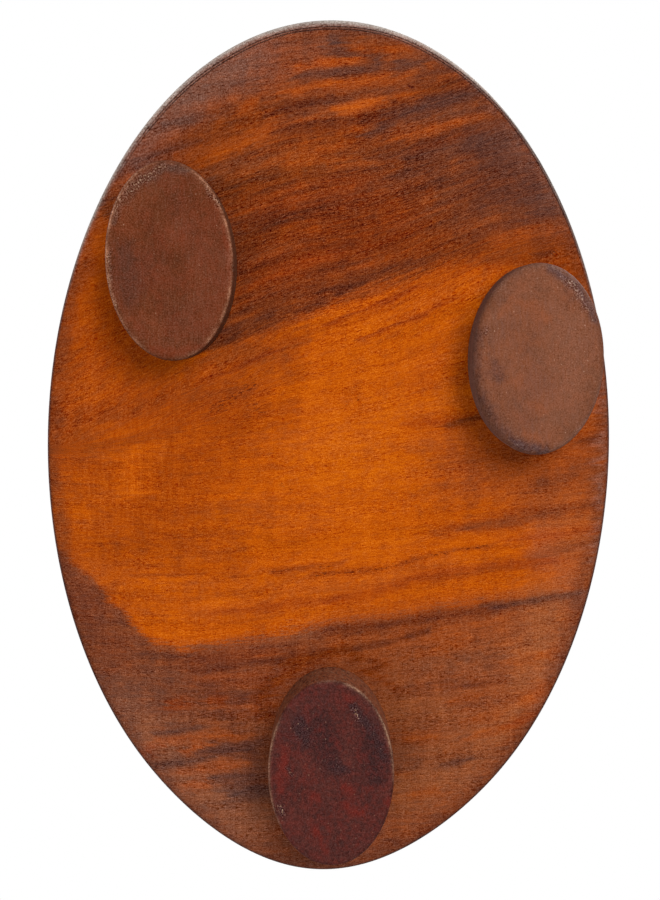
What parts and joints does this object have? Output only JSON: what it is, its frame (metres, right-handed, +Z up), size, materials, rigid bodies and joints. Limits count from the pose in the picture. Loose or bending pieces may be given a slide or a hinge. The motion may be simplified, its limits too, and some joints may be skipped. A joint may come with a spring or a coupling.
{
  "type": "chakla rolling board",
  "caption": "Low oval board of solid hardwood for rolling out flat breads, raised on short oval feet that are glued and dowelled to its underside.",
  "frame": {"origin": "on the surface that the feet stand on, under the middle of the board's box", "axes": "+Z up from the soles of the feet to the working face, +Y along the board towards the end that stands on one foot, +X across it"},
  "size_m": [0.188, 0.2852, 0.038],
  "materials": {
    "board_wood": "oiled and hand-rubbed, orange brown with dark streaks",
    "left_foot_wood": "matt, dusty, scuffed along its rim",
    "right_foot_wood": "matt, dusty, softly rounded",
    "far_foot_wood": "matt, dark maroon and mottled",
    "dowel_wood": "plain fluted beech, hidden"
  },
  "bodies": {
    "root": {"board": "board_wood", "left_foot": "left_foot_wood", "right_foot": "right_foot_wood", "far_foot": "far_foot_wood", "left_dowel_front": "dowel_wood", "left_dowel_back": "dowel_wood", "right_dowel_front": "dowel_wood", "right_dowel_back": "dowel_wood", "far_dowel_front": "dowel_wood", "far_dowel_back": "dowel_wood"}
  },
  "joints": []
}
